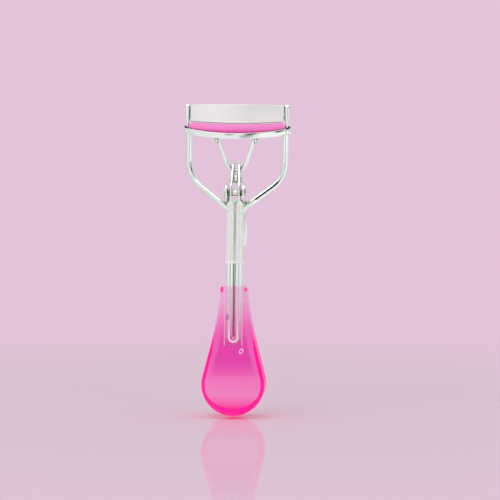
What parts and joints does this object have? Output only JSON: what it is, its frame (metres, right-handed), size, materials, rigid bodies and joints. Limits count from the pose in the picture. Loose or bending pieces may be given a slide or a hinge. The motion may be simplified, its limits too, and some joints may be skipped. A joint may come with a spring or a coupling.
{
  "type": "eyelash curler",
  "caption": "Wire eyelash curler: curved upper jaw plate on a wire frame, sliding lower jaw with a silicone pad, and a lever with paddle grips.",
  "frame": {"origin": "middle of the rear paddle's flat back face, at the height of the grips' widest part", "axes": "+Z from the grips up to the jaws, +Y out of the rear paddle's flat back face, +X to the right when looking along +Y"},
  "size_m": [0.0418, 0.0247, 0.1189],
  "materials": {
    "chrome_wire": "polished",
    "chrome_sheet": "bright",
    "pink_silicone": "satin",
    "pink_plastic": "glossy, translucent",
    "clear_plastic": "clear"
  },
  "bodies": {
    "frame": {"frame_wire": "chrome_wire", "upper_jaw_plate": "chrome_sheet", "pivot_bracket": "chrome_sheet", "pivot_rivet": "chrome_wire", "rear_paddle": "pink_plastic"},
    "lever": {"lever_wire": "chrome_wire", "spacer_rivet": "chrome_wire", "spacer_bush": "chrome_wire", "lever_sleeve": "clear_plastic", "front_paddle": "pink_plastic"},
    "jaw": {"lower_jaw": "chrome_sheet", "silicone_pad": "pink_silicone"},
    "link": {"link_wire": "chrome_wire", "left_link_collar": "chrome_wire", "right_link_collar": "chrome_wire"}
  },
  "joints": [
    {"name": "lever_pivot", "type": "hinge", "parent": "frame", "child": "lever", "pos_m": [0, -0.0066, 0.0732], "axis": [-1, 0, 0], "range_deg": [0, 38]},
    {"name": "jaw_slide", "type": "slide", "parent": "frame", "child": "jaw", "axis": [0, 0, -1], "range_m": [0, 0.00637]},
    {"name": "link_pivot", "type": "hinge", "parent": "jaw", "child": "link", "pos_m": [0, -0.0023, 0.0932], "axis": [1, 0, 0], "range_deg": [0, 20.9]}
  ],
  "couplings": [
    {"joint": "jaw_slide", "follows": "lever_pivot", "m_per_rad": 0.009591},
    {"joint": "link_pivot", "follows": "lever_pivot", "ratio": 0.5498}
  ]
}
